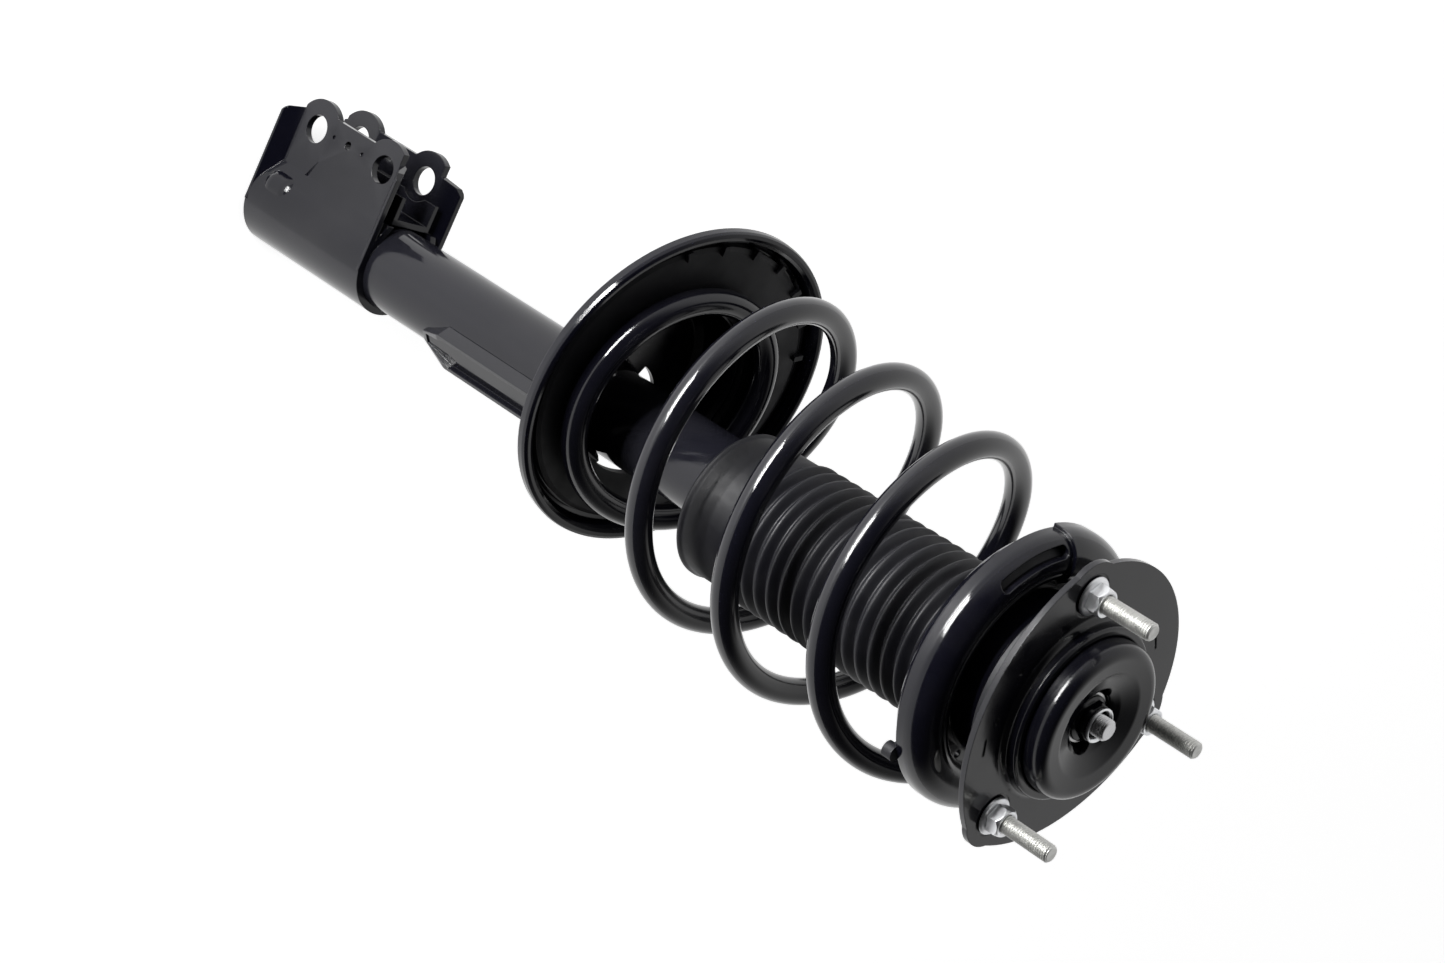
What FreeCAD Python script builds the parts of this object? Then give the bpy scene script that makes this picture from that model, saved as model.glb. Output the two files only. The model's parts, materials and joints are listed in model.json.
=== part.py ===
import FreeCAD, Part

import math
import os

# Front suspension strut with coil spring, top mount and knuckle bracket.
# Millimetres. Z runs along the damper axis, up towards the body of the car.
# The origin is the centre of the top mount plate's upper (seating) face.
# Y points from the damper axis to the knuckle bolts, X runs along those bolts.

V = FreeCAD.Vector
UP = V(0, 0, 1)

# --- top mount -----------------------------------------------------------
plate_thick = 3.5
stud_circle_r = 67.0
stud_angles = (115.5, 250.5, 0.0)
stud_r = 5.0
stud_core_r = 4.6
stud_top_z = 40.0
stud_head_r = 9.0
stud_head_thick = 3.0
lobe_r = 20.0
lobe_reach = 85.5
side_reach = (75.5, 82.0, 73.5)
hat_r = 49.5
hat_top_z = 8.5
hat_sheet = 3.0
cap_r = 44.3
cap_top_z = 20.5
cap_sheet = 2.2
cap_hole_r = 15.0
cap_hole_notch = 4.0
nut_flange_r = 11.0
nut_flats = 15.0
nut_height = 10.0
nut_seat_r = 12.2
nut_seat_depth = 0.3
rod_nut_flats = 20.0
rod_nut_base_z = 11.0
rod_nut_collar_z = 17.6
rod_nut_top_z = 20.4
rod_tip_z = 26.0

# --- damper --------------------------------------------------------------
rod_r = 11.0
rod_thread_r = 6.0
rod_neck_r = 7.0
rod_shoulder_z = -18.0
piston_neck_top_z = -318.0
rod_bottom_z = -352.0
tube_r = 25.0
tube_wall = 2.6
tube_top_z = -232.0
tube_bottom_z = -659.0
inner_tube_r = 17.6
inner_tube_wall = 1.6
guide_low_z = -262.0

# --- bearing -------------------------------------------------------------
ball_circle_r = 39.0
ball_r = 2.75
ball_count = 24
bearing_mid_z = -13.0

# --- upper spring seat ---------------------------------------------------
seat_sheet = 3.0
channel_r = 66.0
channel_z = -40.2
channel_out_r = 13.2
dome_rim_z = -45.0
step_rise = 2.2
step_start = 36.0
step_span = 66.0
hub_r = 48.0
hub_top_z = -20.0
dome_floor_z = -38.0

# --- coil spring ---------------------------------------------------------
wire_r = 7.5
coil_r = 88.0
coil_pitch = 69.5
low_coil_r = 64.0
top_coil_r = 66.5
top_coil_z = -46.5
spring_axis_tilt = V(0.0214, -0.095, 1.0)
spring_axis_point = V(-0.6, 11.2, -169.5)
first_angle = -35.0
leave_low_angle = 205.0
join_main_angle = 400.0
leave_main_angle = 1250.0
join_top_angle = 1505.0
last_angle = 1735.0
main_zero_angle = 905.5

# --- lower spring seat ---------------------------------------------------
low_seat_centre = V(0.0, 29.8, -311.5)
low_seat_normal = V(-0.07, -0.15, 1.0)
low_rim_r = 101.0
low_floor_depth = 10.0
low_bowl_r = 53.0
low_bowl_depth = 36.0
low_bowl_shift = V(-3.0, -5.5, 0.0)
pad_thick = 4.0
tube_opening_r = 31.0

# --- dust boot -----------------------------------------------------------
boot_crest_r = 44.3
boot_root_r = 39.5
boot_wall = 1.8
boot_pitch = 9.4
boot_folds = 16
boot_lip_z = -243.5
boot_lip_r = 43.6
boot_skirt_top_z = -205.0
boot_sag = 7.6
boot_sag_top = 5.0

# --- knuckle bracket -----------------------------------------------------
bracket_sheet = 4.5
bracket_low_z = -656.0
bracket_high_z = -544.0
low_crease_z = -646.5
high_crease_z = -555.5
collar_r = 29.6
ear_half_out = 20.4
bolt_y = 52.0
bolt_z = (-631.0, -567.0)
bolt_hole_r = 8.75
ear_lobe_r = 18.5
ear_saddle_y = 63.5
flange_top_y = 60.0
flange_foot_y = -6.0
shoulder_r = 11.0
brace_web_y = 25.6
brace_wall_y = 43.0
support_half_width = 13.0
support_out = 31.0
support_web = 27.6
support_wall = 2.6
support_low_z = -484.0


def ring(r_in, r_out, z_low, z_high):
    """Plain tube section standing on the Z axis."""
    outer = Part.makeCylinder(r_out, z_high - z_low, V(0, 0, z_low))
    inner = Part.makeCylinder(r_in, z_high - z_low + 2, V(0, 0, z_low - 1))
    return outer.cut(inner)


def turned(profile):
    """Solid of revolution about Z from a closed (radius, height) outline."""
    points = [V(r, 0, z) for r, z in profile]
    points.append(points[0])
    face = Part.Face(Part.makePolygon(points))
    return face.revolve(V(0, 0, 0), UP, 360)


def rounded_edges(points, radius):
    """Edges of a closed outline whose corners are rounded as far as their sides allow, off the axis."""
    edges = []
    ends = []
    for k, here in enumerate(points):
        back = points[k - 1].sub(here)
        ahead = points[(k + 1) % len(points)].sub(here)
        turn = math.pi - back.getAngle(ahead)
        if turn < 0.02 or here.x == 0:
            ends.append((here, here))
            continue
        reach = min(radius * math.tan(turn / 2), 0.48 * back.Length, 0.48 * ahead.Length)
        back.normalize()
        ahead.normalize()
        start = here.add(back * reach)
        end = here.add(ahead * reach)
        arc_radius = reach / math.tan(turn / 2)
        inward = back.add(ahead).normalize()
        middle = here.add(inward * (arc_radius / math.cos(turn / 2) - arc_radius))
        edges.append((k, Part.Arc(start, middle, end).toShape()))
        ends.append((start, end))
    for k in range(len(points)):
        leave = ends[k][1]
        arrive = ends[(k + 1) % len(points)][0]
        if leave.distanceToPoint(arrive) > 1e-6:
            edges.append((k + 0.5, Part.makeLine(leave, arrive)))
    edges.sort(key=lambda item: item[0])
    return [edge for _, edge in edges]


def turned_round(profile, radius):
    """Solid of revolution about Z whose outline corners are rounded, as on pressed sheet."""
    points = [V(r, 0, z) for r, z in profile]
    face = Part.Face(Part.Wire(rounded_edges(points, radius)))
    return face.revolve(V(0, 0, 0), UP, 360)


def box(x_low, x_high, y_low, y_high, z_low, z_high):
    """Box given by its limits."""
    return Part.makeBox(x_high - x_low, y_high - y_low, z_high - z_low, V(x_low, y_low, z_low))


def polar(radius, degrees, z=0.0):
    """Point at a radius and an angle from X."""
    turn = math.radians(degrees)
    return V(radius * math.cos(turn), radius * math.sin(turn), z)


def hexagon(flats, z_low, z_high, turn=0.0):
    """Six-sided prism on the Z axis."""
    corner = flats / math.sqrt(3)
    points = [polar(corner, turn + 60 * k, z_low) for k in range(7)]
    return Part.Face(Part.makePolygon(points)).extrude(V(0, 0, z_high - z_low))


def bevelled_hexagon(flats, z_low, z_high, turn=0.0):
    """Hexagon whose top corners are turned off at 30 degrees."""
    corner = flats / math.sqrt(3)
    drop = (corner - flats * 0.475) * 0.58
    envelope = turned([(0, z_low), (corner + 1, z_low), (corner + 1, z_high - drop - 0.58),
                       (flats * 0.475, z_high), (0, z_high)])
    return hexagon(flats, z_low, z_high, turn).common(envelope)


def at_studs(shape):
    """Copies of a shape made on the Z axis, one at each stud."""
    copies = []
    for angle in stud_angles:
        one = shape.copy()
        one.translate(polar(stud_circle_r, angle))
        copies.append(one)
    return copies


def group(shapes):
    """Separate solids that share one name."""
    return Part.makeCompound(shapes)


def pressed_arc(r_in, r_out, z_low, z_high, angle_low, angle_high):
    """Part of a ring between two angles."""
    profile = Part.makePolygon([V(r_in, 0, z_low), V(r_out, 0, z_low), V(r_out, 0, z_high),
                                V(r_in, 0, z_high), V(r_in, 0, z_low)])
    piece = Part.Face(profile).revolve(V(0, 0, 0), UP, angle_high - angle_low)
    piece.rotate(V(0, 0, 0), UP, angle_low)
    return piece


def on_low_seat(shape):
    """Moves a shape from the lower seat's own tilted frame into the strut's frame."""
    moved = shape.copy()
    turn = FreeCAD.Rotation(UP, low_seat_normal)
    moved.Placement = FreeCAD.Placement(low_seat_centre, turn).multiply(moved.Placement)
    return moved


# --- top mount pieces ------------------------------------------------------

def plate_outline():
    """Rounded triangle: a lobe round each stud joined by wide arcs."""
    lobe_centre_r = lobe_reach - lobe_r
    ordered = sorted(stud_angles)
    spread = 38.0
    edges = []
    for k, angle in enumerate(ordered):
        centre = polar(lobe_centre_r, angle)
        start = centre.add(polar(lobe_r, angle - spread))
        middle = centre.add(polar(lobe_r, angle))
        end = centre.add(polar(lobe_r, angle + spread))
        edges.append(Part.Arc(start, middle, end).toShape())
        following = ordered[(k + 1) % 3] + (360 if k == 2 else 0)
        next_centre = polar(lobe_centre_r, following)
        next_start = next_centre.add(polar(lobe_r, following - spread))
        half_way = polar(side_reach[(k + 2) % 3 - 1], (angle + following) / 2)
        edges.append(Part.Arc(end, half_way, next_start).toShape())
    return Part.Wire(edges)


def mount_plate():
    """Stamped plate with the raised drum that holds the rubber."""
    plate = Part.Face(plate_outline()).extrude(V(0, 0, -plate_thick))
    drum_in = hat_r - hat_sheet
    plate = plate.cut(Part.makeCylinder(drum_in, 20, V(0, 0, -10)))
    half_sheet = hat_sheet / 2
    drum = turned([(drum_in, -plate_thick), (hat_r + 4, -plate_thick), (hat_r + 4, 0),
                   (hat_r, 0), (hat_r, half_sheet), (drum_in, half_sheet)])
    wall = turned_round([(drum_in, 0.0), (hat_r, 0.0), (hat_r, hat_top_z), (cap_r + 0.1, hat_top_z),
                         (cap_r + 0.1, hat_top_z - hat_sheet), (drum_in, hat_top_z - hat_sheet)], 1.8)
    fillet = turned([(hat_r - 0.5, -0.5), (hat_r + 3.6, -0.5), (hat_r + 3.6, 0.0), (hat_r, 3.6),
                     (hat_r - 0.5, 3.6)])
    hollow = Part.makeTorus(hat_r + 3.6, 3.6, V(0, 0, 3.6))
    plate = plate.fuse(drum).fuse(wall).fuse(fillet.cut(hollow))
    for angle in stud_angles:
        plate = plate.cut(Part.makeCylinder(stud_r + 0.3, 20, polar(stud_circle_r, angle, -10)))
        plate = plate.cut(Part.makeCylinder(nut_seat_r, 5, polar(stud_circle_r, angle, -nut_seat_depth)))
    for angle in (40.0, 205.0):
        dent = box(-0.8, 0.8, -5.0, 5.0, -0.6, 1.0)
        dent.rotate(V(0, 0, 0), UP, angle)
        dent.translate(polar(64.0, angle))
        plate = plate.cut(dent)
    for angle in (165.0, 192.0):
        plate = plate.cut(Part.makeCylinder(2.0, 1.0, polar(60.0, angle, -0.5)))
    return plate.removeSplitter()


def mount_cap():
    """Domed cup over the rubber, dished to the rod nut opening."""
    top = cap_top_z
    inner_r = cap_r - cap_sheet
    cup = turned_round([(cap_r, 2.0), (cap_r, top + 0.9), (30.0, top - 0.7), (19.5, top - 4.4),
                        (cap_hole_r, top - 7.0), (cap_hole_r, top - 10.5),
                        (cap_hole_r + cap_sheet, top - 10.5), (cap_hole_r + cap_sheet, top - 8.2),
                        (20.4, top - 6.6), (30.3, top - 2.9), (inner_r, top - 1.4), (inner_r, 2.0)], 6.0)
    for side in (-1, 1):
        notch = Part.makeCylinder(8.0, 30, V(0, 0, 0))
        notch.translate(polar(side * (cap_hole_r + cap_hole_notch - 8.0), 96.0))
        cup = cup.cut(notch)
    return cup


def mount_rubber():
    """Rubber isolator between the cap and the inner sleeve."""
    return turned([(30.5, -6.0), (hat_r - hat_sheet - 0.3, -6.0), (hat_r - hat_sheet - 0.3, 1.7),
                   (cap_r - cap_sheet - 0.3, 1.7), (cap_r - cap_sheet - 0.3, 15.0),
                   (38.0, 17.2), (26.5, 15.4), (19.3, 12.5), (19.3, 2.4), (30.5, 2.4)])


def mount_inner_sleeve():
    """Steel core of the mount: a tube with a wide flange inside the rubber."""
    return turned([(rod_thread_r + 0.05, rod_shoulder_z), (12.5, rod_shoulder_z), (12.5, -2.5),
                   (30.0, -2.5), (30.0, 2.0), (12.5, 2.0), (12.5, 8.5), (rod_thread_r + 0.05, 8.5)])


def rod_washer():
    """Dished washer under the rod nut."""
    return turned([(rod_thread_r + 0.1, 8.5), (13.2, 8.5), (14.2, 9.6), (14.2, 11.0),
                   (rod_thread_r + 0.1, 11.0)])


def rod_nut():
    """Flanged nut on the rod's thread."""
    body = bevelled_hexagon(rod_nut_flats, rod_nut_base_z, rod_nut_collar_z, 12.0)
    collar = turned_round([(8.3, rod_nut_collar_z - 0.5), (9.9, rod_nut_collar_z - 0.5),
                           (9.9, rod_nut_top_z), (8.3, rod_nut_top_z)], 0.6)
    flange = turned([(0, rod_nut_base_z), (13.0, rod_nut_base_z), (13.0, rod_nut_base_z + 1.2),
                     (10.5, rod_nut_base_z + 2.6), (0, rod_nut_base_z + 2.6)])
    bore = Part.makeCylinder(rod_thread_r + 0.05, 30, V(0, 0, 5))
    return body.fuse(flange).fuse(collar).cut(bore).removeSplitter()


def mount_studs():
    """Three pressed-in studs with their heads under the plate."""
    head_z = -plate_thick - stud_head_thick
    stud = turned([(0, head_z), (stud_head_r, head_z), (stud_head_r, -plate_thick),
                   (stud_r + 0.25, -plate_thick), (stud_r + 0.25, -0.8), (stud_core_r, -0.4),
                   (stud_core_r, nut_height), (stud_r, nut_height + 0.3), (stud_r, stud_top_z - 1.0),
                   (stud_r - 1.0, stud_top_z), (0, stud_top_z)])
    return group(at_studs(stud))


def stud_nuts():
    """Flanged nuts run down to the plate."""
    low = -nut_seat_depth
    body = bevelled_hexagon(nut_flats, low, nut_height, 20.0)
    flange = turned([(0, low), (nut_flange_r, low), (nut_flange_r, 1.2), (8.2, 3.2), (0, 3.2)])
    bore = Part.makeCylinder(stud_core_r + 0.05, 30, V(0, 0, -5))
    return group(at_studs(body.fuse(flange).cut(bore).removeSplitter()))


# --- rod and valve pieces --------------------------------------------------

def piston_rod():
    """Hard-chromed rod, threaded at the mount end and necked for the piston."""
    return turned([(0, rod_bottom_z), (rod_neck_r - 1, rod_bottom_z), (rod_neck_r, rod_bottom_z + 1),
                   (rod_neck_r, piston_neck_top_z), (rod_r, piston_neck_top_z),
                   (rod_r, rod_shoulder_z - 1.0), (rod_r - 1.0, rod_shoulder_z),
                   (rod_thread_r, rod_shoulder_z), (rod_thread_r, rod_tip_z - 1.0),
                   (rod_thread_r - 1.0, rod_tip_z), (0, rod_tip_z)])


def piston():
    """Piston with six oil passages and a groove for its band."""
    bore_r = inner_tube_r - inner_tube_wall
    body = turned([(rod_neck_r + 0.02, -338), (bore_r - 0.3, -338), (bore_r - 0.3, -335),
                   (bore_r - 1.5, -335), (bore_r - 1.5, -325), (bore_r - 0.3, -325),
                   (bore_r - 0.3, -322), (rod_neck_r + 0.02, -322)])
    for k in range(6):
        body = body.cut(Part.makeCylinder(1.5, 20, polar(10.8, 60 * k, -340)))
    return body


def piston_band():
    """Low-friction band round the piston."""
    bore_r = inner_tube_r - inner_tube_wall
    return ring(bore_r - 1.45, bore_r - 0.05, -334.9, -325.1)


def rebound_shims():
    """Flexible disc stack under the piston."""
    discs = [ring(rod_neck_r + 0.02, 13.0 - 1.4 * k, -338.4 - 0.4 * k, -338.0 - 0.4 * k) for k in range(4)]
    return group(discs)


def compression_shims():
    """Flexible disc stack over the piston."""
    discs = [ring(rod_neck_r + 0.02, 13.0 - 1.4 * k, -322.0 + 0.4 * k, -321.6 + 0.4 * k) for k in range(4)]
    return group(discs)


def shim_stop_plate():
    """Backing plate between the upper disc stack and the rod shoulder."""
    return turned([(rod_neck_r + 0.02, -320.4), (10.5, -320.4), (14.0, -319.4), (14.0, -318.0),
                   (rod_neck_r + 0.02, -318.0)])


def piston_nut():
    """Nut that clamps the piston on the rod."""
    body = hexagon(19.0, -347.5, -339.6)
    return body.cut(Part.makeCylinder(rod_neck_r + 0.02, 20, V(0, 0, -350)))


def rebound_stop():
    """Steel ring rolled into the rod's groove."""
    top = guide_low_z - 18.4
    return turned([(rod_r, top - 6.0), (14.5, top - 6.0), (14.5, top - 1.5), (rod_r, top)])


def rebound_cushion():
    """Elastic ring that softens full extension."""
    low = guide_low_z - 18.3
    high = guide_low_z - 0.4
    return turned([(rod_r + 0.1, low), (13.6, low), (15.0, low + 4.0), (15.0, high - 4.0), (13.6, high),
                   (rod_r + 0.1, high)])


def bump_stop():
    """Foam bump stop with three waists on the rod."""
    return turned([(rod_r + 0.4, -62.2), (24.0, -62.2), (24.0, -72), (20.5, -76), (24.0, -80),
                   (24.0, -86), (19.0, -91), (22.0, -95), (22.0, -99), (17.0, -103),
                   (19.0, -107), (17.0, -116), (rod_r + 0.4, -116)])


def bump_stop_cup():
    """Spacer tube and cup on the rod that hold the bump stop below the mount."""
    top = rod_shoulder_z - 0.05
    return turned([(rod_r + 0.1, top), (13.4, top), (13.4, -56.5), (15.0, -58.6), (24.5, -58.6),
                   (26.4, -60.4), (26.4, -69.0), (24.3, -69.0), (24.3, -62.1), (rod_r + 0.1, -62.1)])


# --- bearing pieces --------------------------------------------------------

def bearing_upper_housing():
    """Moulded carrier under the mount plate with a skirt over the races."""
    return turned([(31.0, -10.0), (31.0, -6.6), (hat_r - hat_sheet + 0.5, -6.6),
                   (hat_r - hat_sheet + 0.5, -plate_thick), (54.0, -plate_thick), (54.5, -5.0),
                   (54.5, -17.5), (52.2, -17.5), (52.2, -10.0)])


def bearing_upper_race():
    """Grooved steel ring above the balls."""
    plain = ring(ball_circle_r - 5.5, ball_circle_r + 5.5, bearing_mid_z + 0.8, -10.0)
    groove = Part.makeTorus(ball_circle_r, ball_r + 0.05, V(0, 0, bearing_mid_z))
    return plain.cut(groove)


def bearing_balls():
    """Full circle of steel balls."""
    balls = []
    for k in range(ball_count):
        balls.append(Part.makeSphere(ball_r, polar(ball_circle_r, 360.0 * k / ball_count, bearing_mid_z)))
    return group(balls)


def bearing_cage():
    """Thin ring with a pocket for each ball."""
    cage = ring(ball_circle_r - 4.2, ball_circle_r + 4.2, bearing_mid_z - 0.6, bearing_mid_z + 0.6)
    for k in range(ball_count):
        centre = polar(ball_circle_r, 360.0 * k / ball_count, bearing_mid_z)
        cage = cage.cut(Part.makeSphere(ball_r + 0.15, centre))
    return cage


def bearing_lower_race():
    """Grooved steel ring below the balls."""
    plain = ring(ball_circle_r - 5.5, ball_circle_r + 5.5, hub_top_z, bearing_mid_z - 0.8)
    groove = Part.makeTorus(ball_circle_r, ball_r + 0.05, V(0, 0, bearing_mid_z))
    return plain.cut(groove)


# --- pieces that turn with the upper spring seat ---------------------------

def channel_arc(radius, start, end):
    """Three points of an arc of the channel's section, angles counted from the outside."""
    middle = (start + end) / 2
    points = []
    for degrees in (start, middle, end):
        turn = math.radians(degrees)
        points.append(V(channel_r + radius * math.cos(turn), 0, channel_z + radius * math.sin(turn)))
    return points


def dome_face(grow, with_floor):
    """Section of the upper seat: round channel over the coil, with or without the floor inside it."""
    out = channel_arc(channel_out_r + grow, 0, 146)
    inside = channel_arc(channel_out_r - seat_sheet, 0, 146)
    rim = out[0].x
    rim_in = inside[0].x
    edges = [Part.makeLine(V(rim, 0, dome_rim_z), out[0]), Part.Arc(*out).toShape()]
    if with_floor:
        low = dome_floor_z - seat_sheet
        floor = [out[2], V(hub_r + 6.0, 0, dome_floor_z), V(hub_r - 1, 0, dome_floor_z),
                 V(hub_r - 1, 0, low), V(hub_r + 6.0, 0, low), inside[2]]
        edges += Part.makePolygon(floor).Edges
    else:
        edges.append(Part.makeLine(out[2], inside[2]))
    edges += [Part.Arc(*inside[::-1]).toShape(), Part.makeLine(inside[0], V(rim_in, 0, dome_rim_z)),
              Part.makeLine(V(rim_in, 0, dome_rim_z), V(rim, 0, dome_rim_z))]
    return Part.Face(Part.Wire(edges))


def raised_step():
    """Raised sector of the channel where the coil climbs away, with sloped ends."""
    piece = dome_face(step_rise, False).revolve(V(0, 0, 0), UP, step_span)
    piece.rotate(V(0, 0, 0), UP, step_start)
    return piece


def slot_tool():
    """Arc-shaped window with rounded ends on the dome's shoulder."""
    tool = pressed_arc(70.4, 76.4, -60, 0, 107.0, 140.0)
    for angle in (107.0, 140.0):
        tool = tool.fuse(Part.makeCylinder(3.0, 60, polar(73.4, angle, -60)))
    return tool


def upper_spring_seat():
    """Pressed steel seat: bearing hub, floor and the channel over the top coil."""
    hub = turned([(32.0, hub_top_z), (hub_r - 2, hub_top_z), (hub_r, hub_top_z - 2),
                  (hub_r, dome_floor_z - seat_sheet), (hub_r - seat_sheet, dome_floor_z - seat_sheet),
                  (hub_r - seat_sheet, hub_top_z - seat_sheet), (35.0, hub_top_z - seat_sheet),
                  (35.0, -44.0), (32.0, -44.0)])
    seat = hub.fuse(dome_face(0.0, True).revolve(V(0, 0, 0), UP, 360))
    seat = seat.fuse(raised_step())
    seat = seat.cut(slot_tool())
    for angle, radius, hole in ((-92.0, 70.0, 3.4), (-108.0, 51.5, 2.4)):
        seat = seat.cut(Part.makeCylinder(hole, 60, polar(radius, angle, -60)))
    return seat.removeSplitter()


def upper_insulator():
    """Rubber ring between the top coil and the seat, with the coil's end stop."""
    pad = turned([(58.6, -39.4), (59.6, -36.0), (62.0, -33.2), (66.0, -31.4), (70.0, -32.6),
                  (73.0, -35.4), (75.4, -39.6), (75.9, -42.2), (75.0, -42.6), (72.9, -39.9),
                  (66.5, -38.6), (60.4, -39.9)])
    nub = Part.makeCylinder(4.5, 6.2, V(79.5, 0, dome_rim_z - 6.5))
    link = box(74.4, 75.7, -4.0, 4.0, -47.0, -41.0)
    shelf = box(74.3, 79.5, -4.0, 4.0, -48.5, dome_rim_z - 0.3)
    stop = nub.fuse(shelf).fuse(link)
    stop.rotate(V(0, 0, 0), UP, 224.0)
    return pad.fuse(stop).removeSplitter()


def smooth(value):
    """Ease from 0 to 1 with level ends."""
    clipped = min(max(value, 0.0), 1.0)
    return clipped * clipped * (3 - 2 * clipped)


def turned_frame(normal):
    """Two directions square to a normal, nearest to X and Y."""
    turn = FreeCAD.Rotation(UP, normal)
    return turn.multVec(V(1, 0, 0)), turn.multVec(V(0, 1, 0)), turn.multVec(UP)


def coil_in_frame(centre, normal, radius, height, degrees):
    """Point on a coil drawn round a tilted axis."""
    side, front, along = turned_frame(normal)
    turn = math.radians(degrees)
    point = centre.add(side.multiply(radius * math.cos(turn)))
    point = point.add(front.multiply(radius * math.sin(turn)))
    return point.add(along.multiply(height))


def spring_point(degrees):
    """Centre of the wire at an angle counted along the coil from its lower end."""
    rise = (degrees - main_zero_angle) * coil_pitch / 360.0
    main = coil_in_frame(spring_axis_point, spring_axis_tilt, coil_r, rise, degrees)
    shift = FreeCAD.Rotation(UP, low_seat_normal).multVec(low_bowl_shift)
    bed = wire_r + pad_thick - low_floor_depth + 0.3
    low = coil_in_frame(low_seat_centre.add(shift), low_seat_normal, low_coil_r, bed, degrees)
    top = coil_in_frame(V(0, 0, top_coil_z), UP, top_coil_r, 0.0, degrees)
    leave_low = smooth((degrees - leave_low_angle) / (join_main_angle - leave_low_angle))
    reach_top = smooth((degrees - leave_main_angle) / (join_top_angle - leave_main_angle))
    point = low.multiply(1 - leave_low).add(main.multiply(leave_low))
    return point.multiply(1 - reach_top).add(top.multiply(reach_top))


def coil_spring():
    """Side-load spring: closed small end coils and three wide free coils."""
    steps = 90
    span = last_angle - first_angle
    points = [spring_point(first_angle + span * k / steps) for k in range(steps + 1)]
    curve = Part.BSplineCurve()
    curve.interpolate(points)
    path = Part.Wire(curve.toShape())
    start = curve.value(curve.FirstParameter)
    heading = curve.tangent(curve.FirstParameter)[0]
    section = Part.Wire(Part.makeCircle(wire_r, start, heading))
    return path.makePipeShell([section], True, True)


def boot_profile():
    """Closed outline of the bellows: folds above, plain skirt and thick lip below."""
    top = boot_skirt_top_z + boot_folds * boot_pitch
    outer = [(boot_lip_r - 1.2, boot_lip_z), (boot_lip_r, boot_lip_z + 1.0), (boot_lip_r, boot_lip_z + 3.2),
             (boot_lip_r - 1.0, boot_lip_z + 4.4), (boot_crest_r - 2.0, boot_lip_z + 6.0),
             (boot_crest_r - 2.0, boot_skirt_top_z - 1.0)]
    inner = [(boot_lip_r - 4.6, boot_lip_z), (boot_lip_r - 4.6, boot_lip_z + 3.6),
             (boot_crest_r - 4.6, boot_lip_z + 6.0), (boot_crest_r - 4.6, boot_skirt_top_z - 1.0)]
    for k in range(boot_folds):
        base = boot_skirt_top_z + k * boot_pitch
        for share, radius in ((0.10, boot_root_r), (0.20, boot_root_r), (0.42, boot_crest_r - 0.6),
                              (0.55, boot_crest_r), (0.68, boot_crest_r - 0.6), (0.90, boot_root_r)):
            outer.append((radius, base + share * boot_pitch))
            inner.append((radius - boot_wall, base + share * boot_pitch))
    outer.append((boot_root_r, top))
    inner.append((boot_root_r - boot_wall, top))
    return outer + inner[::-1]


def dust_boot():
    """Bellows hanging from the hub of the upper seat, sagging to one side."""
    folds = turned(boot_profile())
    top = boot_skirt_top_z + boot_folds * boot_pitch
    length = top - boot_lip_z
    lean = math.degrees(math.atan2(boot_sag - boot_sag_top, length))
    folds.rotate(V(0, 0, top), V(1, 0, 0), -lean)
    folds.translate(V(0, -boot_sag_top, 0))
    neck = ring(29.0, 31.8, top - 1.0, -36.0)
    collar = ring(29.0, boot_root_r + 6.0, top - 1.0, top + 1.4)
    return folds.fuse(collar).fuse(neck)


# --- strut tube pieces -----------------------------------------------------

def reserve_tube():
    """Outer tube of the damper with its crimped upper edge."""
    bore = tube_r - tube_wall
    return turned([(bore, tube_bottom_z), (tube_r, tube_bottom_z), (tube_r, tube_top_z - 1.5),
                   (tube_r - 1.5, tube_top_z), (bore - 3.0, tube_top_z), (bore - 3.0, tube_top_z - 2.2),
                   (bore, tube_top_z - 2.2)])


def base_cap():
    """Dished end cap welded in the foot of the tube."""
    edge = tube_r - tube_wall - 0.02
    low = tube_bottom_z + 0.2
    return turned([(0, -655), (15, -655), (18, -656), (edge, -656), (edge, low), (18, low),
                   (14, low + 1.2), (0, low + 1.2)])


def pressure_tube():
    """Inner cylinder in which the piston runs."""
    return ring(inner_tube_r - inner_tube_wall, inner_tube_r, -642.0, -256.0)


def foot_valve_body():
    """Valve body closing the foot of the inner cylinder."""
    body = turned([(3.0, -654.5), (8.0, -654.5), (12.0, -650.0), (17.4, -650.0), (19.5, -647.0),
                   (19.5, -642.1), (15.9, -642.1), (15.9, -638.0), (3.0, -638.0)])
    for k in range(6):
        body = body.cut(Part.makeCylinder(1.6, 30, polar(11.5, 60 * k, -660)))
    return body


def foot_valve_discs():
    """Spring disc and flexible discs over the foot valve."""
    return group([ring(3.02, 14.5 - 2.0 * k, -637.9 + 0.5 * k, -637.5 + 0.5 * k) for k in range(3)])


def foot_valve_pin():
    """Rivet through the foot valve."""
    return turned([(0, -654.9), (2.98, -654.9), (2.98, -636.4), (6.0, -636.4), (6.0, -633.5), (0, -633.5)])


def rod_guide():
    """Sintered guide centring the rod and the inner cylinder."""
    bore = tube_r - tube_wall
    return turned([(rod_r + 1.7, guide_low_z), (inner_tube_r - inner_tube_wall - 0.02, guide_low_z),
                   (inner_tube_r - inner_tube_wall - 0.02, -256.0), (inner_tube_r + 1.0, -255.9),
                   (bore - 0.05, -252.0), (bore - 0.05, -243.0), (rod_r + 1.7, -243.0)])


def guide_bush():
    """Thin bearing bush in the rod guide."""
    return ring(rod_r + 0.05, rod_r + 1.68, -261.5, -246.0)


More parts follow.
